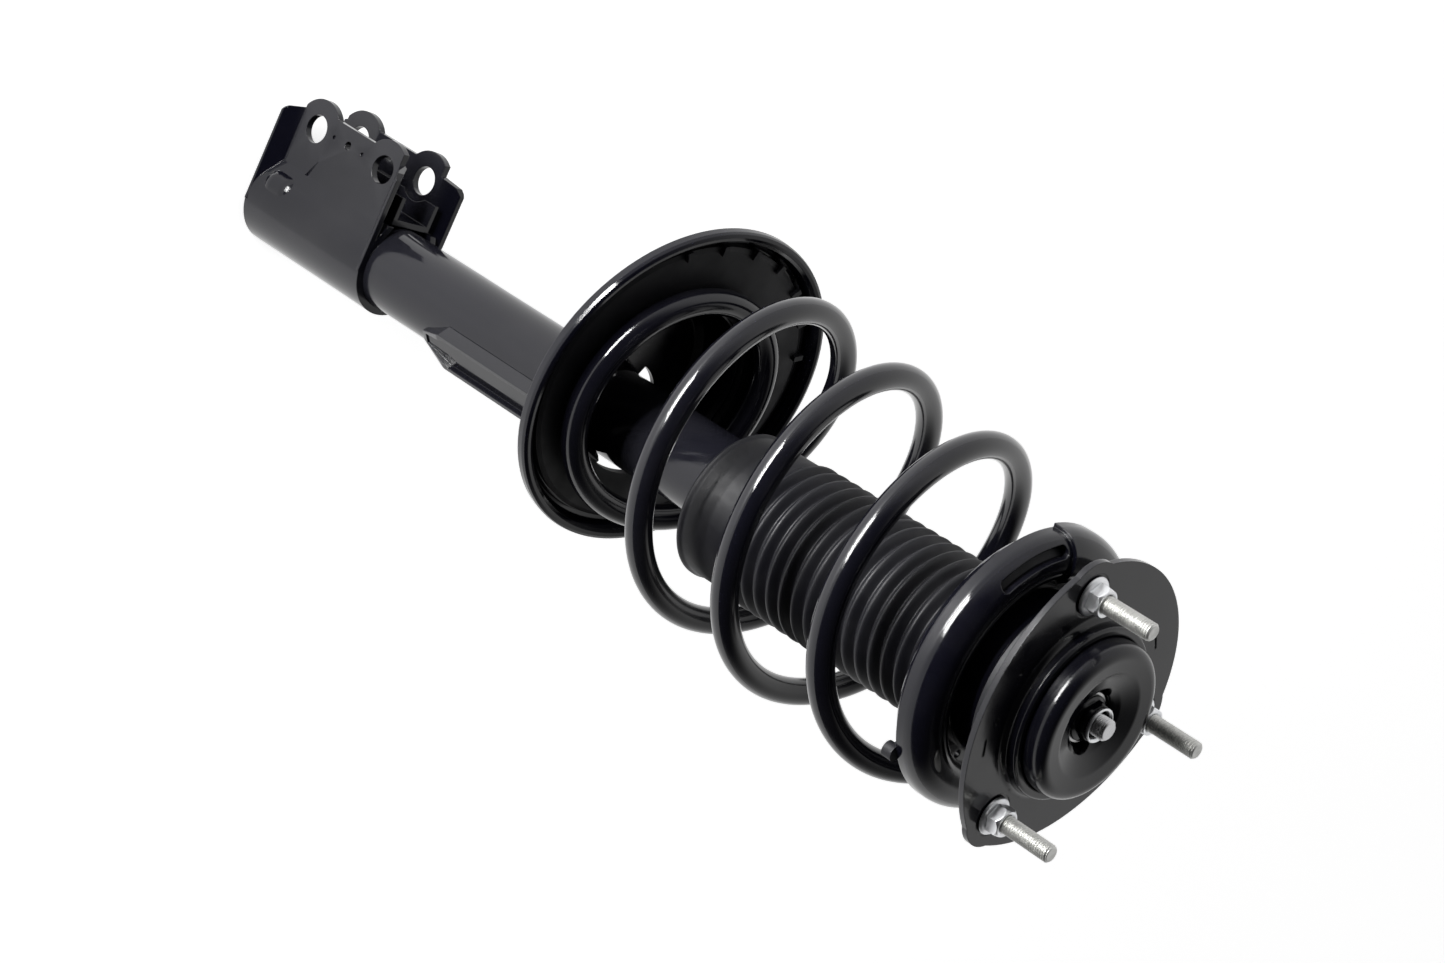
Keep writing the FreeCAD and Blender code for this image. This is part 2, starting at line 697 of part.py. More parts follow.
def oil_seal():
    """Rod seal with its lips and stiffening washer."""
    return turned([(rod_r + 0.08, -238.6), (rod_r + 1.4, -242.8), (tube_r - tube_wall - 0.1, -242.9),
                   (tube_r - tube_wall - 0.1, -238.0), (rod_r + 2.0, -238.0), (rod_r + 0.08, -236.0)])


def closing_ring():
    """Steel ring held down by the crimp, clamping the seal."""
    return turned([(rod_r + 2.2, -237.9), (tube_r - tube_wall - 0.05, -237.9),
                   (tube_r - tube_wall - 0.05, tube_top_z - 2.3), (rod_r + 2.2, tube_top_z - 2.3)])


def striker_cap():
    """Pressed cap on the tube's end that meets the bump stop."""
    return turned([(tube_r + 0.05, -252.0), (tube_r + 1.7, -252.0), (tube_r + 1.7, tube_top_z + 1.0),
                   (tube_r - 0.3, tube_top_z + 2.6), (14.0, tube_top_z + 2.6), (14.0, tube_top_z + 0.8),
                   (tube_r - 1.0, tube_top_z + 0.8), (tube_r + 0.05, tube_top_z - 0.2)])


def tube_clearance(radius):
    """Long cylinder on the damper axis, for cutting openings round the tube."""
    return Part.makeCylinder(radius, 300, V(0, 0, -500))


def low_seat_dish():
    """Rim, flat bed and rim roll of the lower seat in its own frame, with its off-centre bowl."""
    floor = -low_floor_depth
    sheet = seat_sheet
    rim = turned([(0, floor), (90.0, floor), (92.5, floor + 1.0), (94.5, -2.0), (96.5, -0.3), (98.5, 0.0),
                  (100.3, -0.8), (low_rim_r, -2.6), (low_rim_r, -6.5), (low_rim_r - 2.2, -6.5),
                  (low_rim_r - 2.2, -3.6), (98.2, -2.8), (97.2, -3.2), (95.0, floor - sheet + 2.0),
                  (92.0, floor - sheet), (0, floor - sheet)])
    bowl_out = turned([(0, floor), (low_bowl_r + 3.5, floor), (low_bowl_r + 1.5, floor - 3.0),
                       (low_bowl_r, floor - 8.0), (low_bowl_r - 4.0, -low_bowl_depth - sheet + 3),
                       (low_bowl_r - 9.0, -low_bowl_depth - sheet), (0, -low_bowl_depth - sheet)])
    bowl_in = turned([(0, 1), (low_bowl_r, 1), (low_bowl_r, floor - 0.2), (low_bowl_r - 1.8, floor - 3.2),
                      (low_bowl_r - 3.2, floor - 8.2), (low_bowl_r - 7.0, -low_bowl_depth + 3),
                      (low_bowl_r - 11.5, -low_bowl_depth), (0, -low_bowl_depth)])
    bowl_out.translate(low_bowl_shift)
    bowl_in.translate(low_bowl_shift)
    return on_low_seat(rim.fuse(bowl_out).cut(bowl_in))


def lower_spring_seat():
    """Dished seat round the tube: open beside the tube, welded to it on two tongues."""
    dish = low_seat_dish()
    opening = tube_clearance(tube_opening_r)
    tongues = []
    for angle_low, angle_high in ((72.0, 112.0), (-46.0, -8.0), (205.0, 240.0)):
        tongues.append(pressed_arc(tube_r, tube_opening_r + 1, -500, -200, angle_low, angle_high))
    for tongue in tongues:
        opening = opening.cut(tongue)
    dish = dish.cut(opening).cut(tube_clearance(tube_r + 0.05))
    return dish.removeSplitter()


def lower_insulator():
    """Rubber bed under the lower coil with locating lugs along its outer edge."""
    low = -low_floor_depth
    pad = turned([(0, low), (89.0, low), (89.0, low + 3.0), (86.5, low + pad_thick), (0, low + pad_thick)])
    hollow = Part.makeCylinder(low_bowl_r + 1.5, 30, low_bowl_shift.add(V(0, 0, -20)))
    pad = pad.cut(hollow)
    for k in range(7):
        lug = box(84.5, 90.5, -1.6, 1.6, low + 1.0, low + 6.5)
        lug.rotate(V(0, 0, 0), UP, 24.0 + 16.0 * k)
        pad = pad.fuse(lug)
    return on_low_seat(pad.removeSplitter())


def support_outline(inset, x):
    """Side-on outline of the support channel: long, with a pointed lower end."""
    half = support_half_width - inset
    low = support_low_z + inset * 1.5
    tip = 3.5
    points = [V(x, -half, -300), V(x, -half, low + 20), V(x, -tip, low), V(x, tip, low),
              V(x, half, low + 20), V(x, half, -300), V(x, -half, -300)]
    return Part.Face(Part.makePolygon(points))


def seat_support():
    """Stamped channel welded along the tube, recessed on its outer side, carrying the lower seat."""
    body = support_outline(0.0, 20.0).extrude(V(support_out - 20.0, 0, 0))
    recess = support_outline(support_wall, support_web).extrude(V(10, 0, 0))
    slope = Part.Face(Part.makePolygon([V(support_web, -20, support_low_z - 1),
                                        V(support_out + 1, -20, support_low_z - 1),
                                        V(support_out + 1, -20, support_low_z + 24),
                                        V(support_web, -20, support_low_z - 1)]))
    body = body.cut(recess).cut(slope.extrude(V(0, 40, 0)))
    body.rotate(V(0, 0, 0), UP, 222.0)
    keep_below = on_low_seat(box(-150, 150, -150, 150, -400, -low_bowl_depth - seat_sheet - 0.05))
    return body.cut(tube_clearance(tube_r + 0.05)).common(keep_below)


# --- knuckle bracket pieces ------------------------------------------------

def bracket_section(grow):
    """Outline of the U-shaped bracket seen along the tube, offset inwards by a sheet."""
    r = collar_r - grow
    half = ear_half_out - grow
    neck = math.radians(32.0)
    left = V(-r * math.cos(neck), r * math.sin(neck), 0)
    right = V(r * math.cos(neck), r * math.sin(neck), 0)
    arc = Part.Arc(left, V(0, -r, 0), right).toShape()
    top = 90.0
    bend_y = 25.0
    rest = Part.makePolygon([right, V(half, bend_y, 0), V(half, top, 0), V(-half, top, 0),
                             V(-half, bend_y, 0), left])
    return Part.Face(Part.Wire([arc] + rest.Edges))


def ear_blank():
    """Side view of the ears in the Y-Z plane, as a slab to trim the U section."""
    low_hole, high_hole = bolt_z
    slab = box(-40, 40, -60, flange_top_y - 4.0, bracket_low_z, bracket_high_z)
    saddle = box(-40, 40, 50.0, ear_saddle_y, low_hole, high_hole)
    blank = slab.fuse(saddle)
    for z in bolt_z:
        blank = blank.fuse(Part.makeCylinder(ear_lobe_r, 80, V(-40, bolt_y, z), V(1, 0, 0)))
    bend_y = 25.0
    blank = blank.cut(box(-40, 40, bend_y, 90, bracket_low_z - 30, low_crease_z))
    return blank.cut(box(-40, 40, bend_y, 90, high_crease_z, bracket_high_z + 30))


def ear_flange(side, crease_z, edge_z):
    """Strip bent outwards along one end of one ear, running down into the collar."""
    heading = 1 if edge_z > crease_z else -1
    outer = ear_half_out
    inner = ear_half_out - bracket_sheet
    tip = collar_r
    tip_in = collar_r - bracket_sheet * 0.75
    start = crease_z - heading * 2.0
    section = [V(inner, 0, start), V(outer, 0, start), V(outer, 0, crease_z),
               V(tip, 0, edge_z - heading * 1.6), V(tip, 0, edge_z), V(tip_in, 0, edge_z),
               V(inner, 0, crease_z + heading * 2.2)]
    points = [V(side * point.x, flange_foot_y, point.z) for point in section]
    strip = Part.Face(Part.makePolygon(points + points[:1])).extrude(V(0, 90, 0))
    trim = Part.makePolygon([V(-60, -40, start), V(-60, flange_top_y + 1.0, start),
                             V(-60, flange_top_y, crease_z), V(-60, flange_top_y - 3.0, edge_z - heading * 3),
                             V(-60, flange_top_y - 7.0, edge_z), V(-60, -40, edge_z), V(-60, -40, start)])
    return strip.common(Part.Face(trim).extrude(V(120, 0, 0)))


def collar_shoulder(side):
    """Rounded shoulder where the pressed-in ear swells out to the collar at its lower end."""
    centre_x = side * (collar_r - shoulder_r)
    low = V(centre_x, 9.0, low_crease_z + 6.0)
    length = 9.0
    barrel = Part.makeCylinder(shoulder_r, length, low)
    ends = Part.makeSphere(shoulder_r, low).fuse(Part.makeSphere(shoulder_r, low.add(V(0, 0, length))))
    return barrel.fuse(ends)


def pinch_crease(side):
    """Short tapering crease pressed into the ear above the shoulder."""
    face_x = side * (ear_half_out + 0.2)
    wide = Part.makePolygon([V(face_x, 15.0, -629.5), V(face_x - side * 1.6, 16.5, -627.5),
                             V(face_x, 18.0, -624.0), V(face_x, 15.0, -629.5)])
    narrow = Part.makePolygon([V(face_x, 35.0, -619.4), V(face_x - side * 0.4, 35.3, -618.8),
                               V(face_x, 35.8, -618.0), V(face_x, 35.0, -619.4)])
    return Part.makeLoft([wide, narrow], True, True)


def across_ears(radius, y, z):
    """Long cylinder through both ears."""
    return Part.makeCylinder(radius, 120, V(-60, y, z), V(1, 0, 0))


def knuckle_bracket():
    """U-shaped bracket round the tube's foot with two drilled, flanged ears."""
    height = bracket_high_z - bracket_low_z
    outer = bracket_section(0.0).extrude(V(0, 0, height))
    inner = bracket_section(bracket_sheet).extrude(V(0, 0, height))
    shell = outer.cut(inner)
    shell.translate(V(0, 0, bracket_low_z))
    shell = shell.common(ear_blank())
    for side in (-1, 1):
        shell = shell.fuse(ear_flange(side, low_crease_z, bracket_low_z))
        shell = shell.fuse(ear_flange(side, high_crease_z, bracket_high_z))
        shell = shell.fuse(collar_shoulder(side))
    for side in (-1, 1):
        shell = shell.cut(pinch_crease(side))
    for z in bolt_z:
        shell = shell.cut(across_ears(bolt_hole_r, bolt_y, z))
    middle = (bolt_z[0] + bolt_z[1]) / 2 - 2.0
    shell = shell.cut(across_ears(2.6, bolt_y + 1.2, middle))
    for offset in (-13.5, 13.5):
        pip = Part.makeCylinder(1.3, 1.2, V(-ear_half_out - 0.2, bolt_y + 1.2, middle + offset), V(1, 0, 0))
        shell = shell.cut(pip)
    hollow = box(-ear_half_out + bracket_sheet, ear_half_out - bracket_sheet, 0, 90, -700, -500)
    return shell.cut(hollow).cut(Part.makeCylinder(tube_r + 0.05, 200, V(0, 0, -700))).removeSplitter()


def bracket_brace():
    """Inner channel between the ears, closing the U over the tube."""
    half = ear_half_out - bracket_sheet - 0.05
    low = bracket_low_z + 4.0
    high = bracket_high_z - 3.0
    web = box(-half, half, brace_web_y, brace_web_y + 3.5, low, high)
    for side in (-1, 1):
        wall = box(-1.6, 1.6, brace_web_y, brace_wall_y, low, high)
        wall.translate(V(side * (half - 1.6), 0, 0))
        web = web.fuse(wall)
    web = web.cut(box(-9, 9, 20, 50, -612, -590))
    for z in bolt_z:
        web = web.cut(across_ears(bolt_hole_r + 4.5, bolt_y, z))
    return web.removeSplitter()


MAKERS = (
    mount_plate, mount_cap, mount_rubber, mount_inner_sleeve, rod_washer, rod_nut, mount_studs,
    stud_nuts, piston_rod, piston, piston_band, rebound_shims, compression_shims, shim_stop_plate,
    piston_nut, rebound_stop, rebound_cushion, bump_stop, bump_stop_cup, bearing_upper_housing,
    bearing_upper_race, bearing_balls, bearing_cage, bearing_lower_race, upper_spring_seat,
    upper_insulator, coil_spring, dust_boot, reserve_tube, base_cap, pressure_tube,
    foot_valve_body, foot_valve_discs, foot_valve_pin, rod_guide, guide_bush, oil_seal, closing_ring,
    striker_cap, lower_spring_seat, lower_insulator, seat_support, knuckle_bracket, bracket_brace,
)

os.makedirs("parts", exist_ok=True)
for make in MAKERS:
    shape = make()
    shape.exportStep("parts/" + make.__name__ + ".step")
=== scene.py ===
import json
import math

import bmesh
import bpy
from mathutils import Matrix, Vector


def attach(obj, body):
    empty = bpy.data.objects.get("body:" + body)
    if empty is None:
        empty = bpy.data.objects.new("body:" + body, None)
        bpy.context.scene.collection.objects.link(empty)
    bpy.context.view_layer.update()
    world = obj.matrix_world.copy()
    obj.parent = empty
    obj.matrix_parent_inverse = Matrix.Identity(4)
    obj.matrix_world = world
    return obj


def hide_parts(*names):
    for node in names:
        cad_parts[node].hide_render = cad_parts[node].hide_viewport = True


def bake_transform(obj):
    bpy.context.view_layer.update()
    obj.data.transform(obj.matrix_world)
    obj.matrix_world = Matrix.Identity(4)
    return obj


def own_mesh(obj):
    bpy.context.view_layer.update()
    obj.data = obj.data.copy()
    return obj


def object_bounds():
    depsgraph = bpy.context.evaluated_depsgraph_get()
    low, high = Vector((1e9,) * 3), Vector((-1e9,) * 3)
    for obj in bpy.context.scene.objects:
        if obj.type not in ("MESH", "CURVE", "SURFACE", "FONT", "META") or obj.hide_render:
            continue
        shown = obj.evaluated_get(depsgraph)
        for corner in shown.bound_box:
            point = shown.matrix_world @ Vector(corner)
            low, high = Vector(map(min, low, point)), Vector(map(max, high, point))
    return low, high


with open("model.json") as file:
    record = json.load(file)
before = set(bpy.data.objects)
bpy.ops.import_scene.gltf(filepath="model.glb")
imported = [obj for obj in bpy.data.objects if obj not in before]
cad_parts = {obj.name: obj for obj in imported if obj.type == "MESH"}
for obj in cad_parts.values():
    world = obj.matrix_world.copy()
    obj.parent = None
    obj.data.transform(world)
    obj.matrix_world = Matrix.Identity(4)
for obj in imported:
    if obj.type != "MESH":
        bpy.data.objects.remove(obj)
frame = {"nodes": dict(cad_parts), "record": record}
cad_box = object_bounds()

MM = 0.001
nodes = frame["nodes"]

# --- camera: looks at the damper axis, rolled so that the strut lies across the picture ---
LOOK_AT = Vector((0, 0, -0.2574))
CAMERA_AZIMUTH = 166.22
CAMERA_ELEVATION = 35.88
CAMERA_DISTANCE = 1.8612
CAMERA_ROLL = -122.92
LENS_MM = 84.7
SENSOR_MM = 36.0

# --- spring, in mm, as in the CAD model ---
WIRE_R = 7.5
COIL_R = 88.0
COIL_PITCH = 69.5
LOW_COIL_R = 64.0
TOP_COIL_R = 66.5
TOP_COIL_Z = -46.5
SPRING_TILT = Vector((0.0214, -0.095, 1.0))
SPRING_POINT = Vector((-0.6, 11.2, -169.5))
FIRST_ANGLE, LEAVE_LOW, JOIN_MAIN = -35.0, 205.0, 400.0
LEAVE_MAIN, JOIN_TOP, LAST_ANGLE = 1250.0, 1505.0, 1735.0
MAIN_ZERO = 905.5

# --- lower seat frame, in mm ---
SEAT_CENTRE = Vector((0.0, 29.8, -311.5))
SEAT_NORMAL = Vector((-0.07, -0.15, 1.0))
BOWL_SHIFT = Vector((-3.0, -5.5, 0.0))
SEAT_FLOOR = 10.0
PAD_THICK = 4.0

# --- boot, in mm ---
BOOT_CREST_R = 44.3
BOOT_ROOT_R = 39.5
BOOT_PITCH = 9.4
BOOT_FOLDS = 16
BOOT_SKIRT_TOP = -205.0
BOOT_LIP_Z = -243.5
BOOT_LIP_R = 43.6
BOOT_WALL = 1.8
BOOT_SAG_TOP = 5.0
BOOT_SAG = 7.6
BOOT_NECK_Z = -36.0
BOOT_NECK_R = 31.8

# --- fasteners, in mm ---
STUD_CIRCLE_R = 67.0
STUD_ANGLES = (115.5, 250.5, 0.0)
NUT_FLATS = 15.0
NUT_HEIGHT = 10.0
ROD_NUT_FLATS = 20.0
NUT_STEPS = 96


# ============================== mesh helpers ==============================

def add_mesh(name, verts, faces, smooth=True, sharp=0):
    """New mesh object from points in mm."""
    mesh = bpy.data.meshes.new(name)
    mesh.from_pydata([Vector(v) * MM for v in verts], [], faces)
    mesh.validate()
    for polygon in mesh.polygons:
        polygon.use_smooth = smooth
    if sharp:
        mesh.set_sharp_from_angle(angle=math.radians(sharp))
    obj = bpy.data.objects.new(name, mesh)
    bpy.context.scene.collection.objects.link(obj)
    fix = bmesh.new()
    fix.from_mesh(mesh)
    bmesh.ops.recalc_face_normals(fix, faces=fix.faces)
    fix.to_mesh(mesh)
    fix.free()
    return obj


def grid_faces(rows, columns, close_columns=True, close_rows=False):
    """Quads of a grid of points stored row by row."""
    faces = []
    for i in range(rows if close_rows else rows - 1):
        after = (i + 1) % rows
        for j in range(columns if close_columns else columns - 1):
            beside = (j + 1) % columns
            row, next_row = i * columns, after * columns
            faces.append((row + j, row + beside, next_row + beside, next_row + j))
    return faces


def turned(name, profile, segments=96, centre=None, closed=True):
    """Surface of revolution about Z from (radius, height) points; centre(z) may shift each ring."""
    verts = []
    for radius, height in profile:
        offset = centre(height) if centre else (0.0, 0.0)
        for k in range(segments):
            turn = 2 * math.pi * k / segments
            verts.append((offset[0] + radius * math.cos(turn), offset[1] + radius * math.sin(turn), height))
    return add_mesh(name, verts, grid_faces(len(profile), segments, True, closed))


def clip_unit(value):
    """Value held between 0 and 1."""
    return min(max(value, 0.0), 1.0)


def smooth_step(value):
    """Ease from 0 to 1 with level ends."""
    clipped = clip_unit(value)
    return clipped * clipped * (3 - 2 * clipped)


def polar(radius, degrees, z=0.0):
    """Point at a radius and an angle from X."""
    turn = math.radians(degrees)
    return Vector((radius * math.cos(turn), radius * math.sin(turn), z))


# ============================== material helpers ==============================

class Paint:
    """A Principled material with a few short ways to add procedural detail."""

    def __init__(self, name, color, roughness, metallic=0.0):
        self.material = bpy.data.materials.new(name)
        self.material.use_nodes = True
        self.tree = self.material.node_tree
        self.shader = self.tree.nodes["Principled BSDF"]
        self.shader.inputs["Base Color"].default_value = (*color, 1)
        self.shader.inputs["Roughness"].default_value = roughness
        self.shader.inputs["Metallic"].default_value = metallic
        self.color = color
        self.place = self.tree.nodes.new("ShaderNodeTexCoord").outputs["Object"]
        self.normal = None

    def set(self, **values):
        for key, value in values.items():
            self.shader.inputs[key.replace("_", " ")].default_value = value
        return self

    def stretch(self, scale):
        """Object coordinates scaled along each axis."""
        node = self.tree.nodes.new("ShaderNodeMapping")
        node.inputs["Scale"].default_value = scale
        self.tree.links.new(self.place, node.inputs["Vector"])
        return node.outputs["Vector"]

    def noise(self, scale, detail=3.0, rough=0.5, source=None, distortion=0.0):
        node = self.tree.nodes.new("ShaderNodeTexNoise")
        node.inputs["Scale"].default_value = scale
        node.inputs["Detail"].default_value = detail
        node.inputs["Roughness"].default_value = rough
        node.inputs["Distortion"].default_value = distortion
        self.tree.links.new(source or self.place, node.inputs["Vector"])
        return node.outputs["Fac"]

    def specks(self, scale):
        node = self.tree.nodes.new("ShaderNodeTexVoronoi")
        node.inputs["Scale"].default_value = scale
        self.tree.links.new(self.place, node.inputs["Vector"])
        return node.outputs["Distance"]

    def edges(self):
        """How convex the surface is, for wear along edges and for painted shade in hollows."""
        return self.tree.nodes.new("ShaderNodeNewGeometry").outputs["Pointiness"]

    def between(self, value, low, high, to_low=0.0, to_high=1.0):
        node = self.tree.nodes.new("ShaderNodeMapRange")
        node.interpolation_type = "SMOOTHSTEP"
        node.inputs["From Min"].default_value = low
        node.inputs["From Max"].default_value = high
        node.inputs["To Min"].default_value = to_low
        node.inputs["To Max"].default_value = to_high
        self.tree.links.new(value, node.inputs["Value"])
        return node.outputs["Result"]

    def math(self, operation, first, second):
        node = self.tree.nodes.new("ShaderNodeMath")
        node.operation = operation
        for socket, value in zip(node.inputs, (first, second)):
            if isinstance(value, (int, float)):
                socket.default_value = value
            else:
                self.tree.links.new(value, socket)
        return node.outputs["Value"]

    def tint(self, amount, color):
        """Mixes a colour over the base colour by an amount."""
        node = self.tree.nodes.new("ShaderNodeMix")
        node.data_type = "RGBA"
        target = self.shader.inputs["Base Color"]
        if target.is_linked:
            self.tree.links.new(target.links[0].from_socket, node.inputs["A"])
        else:
            node.inputs["A"].default_value = (*self.color, 1)
        node.inputs["B"].default_value = (*color, 1)
        self.tree.links.new(amount, node.inputs["Factor"])
        self.tree.links.new(node.outputs["Result"], target)
        return self

    def rough(self, value, low, high):
        """Roughness that follows a texture."""
        out = self.between(value, 0.3, 0.7, low, high)
        target = self.shader.inputs["Roughness"]
        if target.is_linked:
            out = self.math("ADD", out, target.links[0].from_socket)
            out = self.math("MULTIPLY", out, 0.5)
        self.tree.links.new(out, target)
        return self

    def bump(self, height, distance):
        node = self.tree.nodes.new("ShaderNodeBump")
        node.inputs["Distance"].default_value = distance
        self.tree.links.new(height, node.inputs["Height"])
        if self.normal:
            self.tree.links.new(self.normal, node.inputs["Normal"])
        self.normal = node.outputs["Normal"]
        self.tree.links.new(self.normal, self.shader.inputs["Normal"])
        return self


def dust(paint, amount, color):
    """Faint settled dust and tiny specks."""
    cloud = paint.between(paint.noise(14, 5, 0.6), 0.45, 0.8, 0.0, amount)
    paint.tint(cloud, color)
    speck = paint.between(paint.specks(420), 0.03, 0.10, amount * 1.6, 0.0)
    return paint.tint(speck, color)


def black_coat(name, color, roughness, coat, peel):
    """Dip-coated or sprayed black paint with orange peel, faint flow marks and worn edges."""
    paint = Paint(name, color, roughness)
    paint.set(Coat_Weight=coat, Coat_Roughness=0.10, IOR=1.46)
    soft_edge = paint.tree.nodes.new("ShaderNodeBevel")
    soft_edge.samples = 4
    soft_edge.inputs["Radius"].default_value = 0.0008
    paint.normal = soft_edge.outputs["Normal"]
    paint.rough(paint.noise(38, 4), roughness - 0.05, roughness + 0.09)
    paint.tint(paint.between(paint.noise(6, 2), 0.35, 0.7, 0.0, 0.5), tuple(c * 1.7 for c in color))
    paint.tint(paint.between(paint.edges(), 0.54, 0.66, 0.0, 0.35), (0.03, 0.03, 0.034))
    dust(paint, 0.015, (0.30, 0.29, 0.28))
    paint.bump(paint.noise(420, 2), peel)
    paint.bump(paint.noise(60, 2), peel * 2.5)
    return paint.material


def plated_with_painted_shade(name, color, roughness, grain):
    """Zinc plating: faint cloudy tone, fine grain and brighter worn edges, with painted shade that darkens
    hollows such as thread roots.
    """
    paint = Paint(name, color, roughness, 1.0)
    paint.rough(paint.noise(260, 4), roughness - 0.05, roughness + 0.10)
    paint.tint(paint.between(paint.noise(60, 3), 0.4, 0.75, 0.0, 0.3), tuple(c * 0.82 for c in color))
    paint.tint(paint.between(paint.edges(), 0.56, 0.7, 0.0, 0.3), (0.92, 0.93, 0.95))
    # Painted shade: concave places such as thread roots and inner corners are darkened towards a quarter of
    # the plating colour.
    paint.tint(paint.between(paint.edges(), 0.40, 0.49, 0.75, 0.0), tuple(c * 0.25 for c in color))
    paint.bump(paint.noise(900, 4), grain)
    return paint.material


def machined(name, color, roughness):
    """Turned or ground steel with fine circular marks."""
    paint = Paint(name, color, roughness, 1.0)
    lines = paint.noise(40, 3, source=paint.stretch((1, 1, 60)))
    paint.rough(lines, roughness - 0.06, roughness + 0.12)
    paint.tint(paint.between(paint.noise(25, 4), 0.4, 0.75, 0.0, 0.5), tuple(c * 0.6 for c in color))
    paint.bump(lines, 0.00001)
    return paint.material


def cast(name, color, roughness):
    """Sintered or cast surface with pores."""
    paint = Paint(name, color, roughness, 0.85)
    paint.rough(paint.noise(200, 5), roughness - 0.08, roughness + 0.1)
    paint.tint(paint.between(paint.specks(900), 0.05, 0.2, 0.7, 0.0), tuple(c * 0.35 for c in color))
    paint.bump(paint.noise(700, 5), 0.00006)
    return paint.material


def moulded(name, color, roughness, grain, bloom):
    """Rubber or plastic: fine grain, greyish bloom and small marks."""
    paint = Paint(name, color, roughness)
    paint.set(IOR=1.42)
    paint.rough(paint.noise(55, 4), roughness - 0.06, roughness + 0.12)
    cloud = paint.between(paint.noise(11, 4, distortion=0.6), 0.42, 0.75, 0.0, bloom)
    paint.tint(cloud, (0.17, 0.17, 0.18))
    dust(paint, bloom * 0.3, (0.35, 0.34, 0.33))
    paint.bump(paint.noise(1300, 3), grain)
    paint.bump(paint.noise(90, 3), grain * 3)
    return paint.material


def foam(name, color):
    """Cellular polyurethane with open pores."""
    paint = Paint(name, color, 0.85)
    paint.rough(paint.noise(120, 3), 0.75, 0.95)
    paint.tint(paint.between(paint.specks(650), 0.05, 0.35, 0.6, 0.0), tuple(c * 0.55 for c in color))
    paint.bump(paint.specks(650), 0.0002)
    return paint.material


MATERIALS = {
    "gloss_black_paint": black_coat("gloss_black_paint", (0.0022, 0.0022, 0.0046), 0.10, 0.0, 0.000006),
    "satin_black_paint": black_coat("satin_black_paint", (0.0028, 0.0028, 0.0050), 0.15, 0.0, 0.000010),
    "spring_coating": black_coat("spring_coating", (0.0028, 0.0028, 0.0050), 0.10, 0.3, 0.000008),
    "bright_zinc": plated_with_painted_shade("bright_zinc", (0.90, 0.91, 0.93), 0.34, 0.000003),
    "dull_zinc": plated_with_painted_shade("dull_zinc", (0.66, 0.66, 0.64), 0.46, 0.000006),
    "hard_chrome": machined("hard_chrome", (0.62, 0.62, 0.63), 0.22),
    "bright_steel": machined("bright_steel", (0.60, 0.60, 0.60), 0.28),
    "sintered_iron": cast("sintered_iron", (0.32, 0.31, 0.30), 0.5),
    "black_rubber": moulded("black_rubber", (0.0060, 0.0060, 0.0085), 0.50, 0.00003, 0.06),
    "boot_rubber": moulded("boot_rubber", (0.0040, 0.0040, 0.0065), 0.46, 0.00002, 0.03),
    "foam": foam("foam", (0.72, 0.62, 0.40)),
    "bronze": machined("bronze", (0.62, 0.45, 0.25), 0.35),
    "low_friction_band": moulded("low_friction_band", (0.08, 0.16, 0.13), 0.5, 0.00002, 0.1),
    "black_plastic": moulded("black_plastic", (0.008, 0.008, 0.010), 0.42, 0.00003, 0.08),
    "natural_nylon": moulded("natural_nylon", (0.72, 0.70, 0.62), 0.45, 0.00001, 0.1),
}


def finish_nodes():
    """Every CAD node gets the detailed material of its slot."""
    for entry in frame["record"]["subparts"]:
        mesh = nodes[entry["node"]].data
        mesh.materials.clear()
        mesh.materials.append(MATERIALS[entry["material_slot"]])


def dress(obj, slot_name, body, *replaced):
    """Gives a new piece the material of a slot, puts it on a body and hides the nodes it stands for."""
    obj.data.materials.append(MATERIALS[slot_name])
    if replaced:
        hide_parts(*replaced)
    if body:
        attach(obj, body)
    return obj


# ============================== pieces ==============================

def coil_point(centre, normal, radius, height, degrees):
    """Point on a coil drawn round a tilted axis."""
    turn = Vector((0, 0, 1)).rotation_difference(normal)
    angle = math.radians(degrees)
    return centre + turn @ Vector((radius * math.cos(angle), radius * math.sin(angle), height))


def spring_point(degrees):
    """Centre of the wire at an angle counted along the coil from its lower end."""
    rise = (degrees - MAIN_ZERO) * COIL_PITCH / 360.0
    main = coil_point(SPRING_POINT, SPRING_TILT, COIL_R, rise, degrees)
    shift = Vector((0, 0, 1)).rotation_difference(SEAT_NORMAL) @ BOWL_SHIFT
    bed = WIRE_R + PAD_THICK - SEAT_FLOOR + 0.3
    low = coil_point(SEAT_CENTRE + shift, SEAT_NORMAL, LOW_COIL_R, bed, degrees)
    top = coil_point(Vector((0, 0, TOP_COIL_Z)), Vector((0, 0, 1)), TOP_COIL_R, 0.0, degrees)
    leave_low = smooth_step((degrees - LEAVE_LOW) / (JOIN_MAIN - LEAVE_LOW))
    reach_top = smooth_step((degrees - LEAVE_MAIN) / (JOIN_TOP - LEAVE_MAIN))
    return low.lerp(main, leave_low).lerp(top, reach_top)


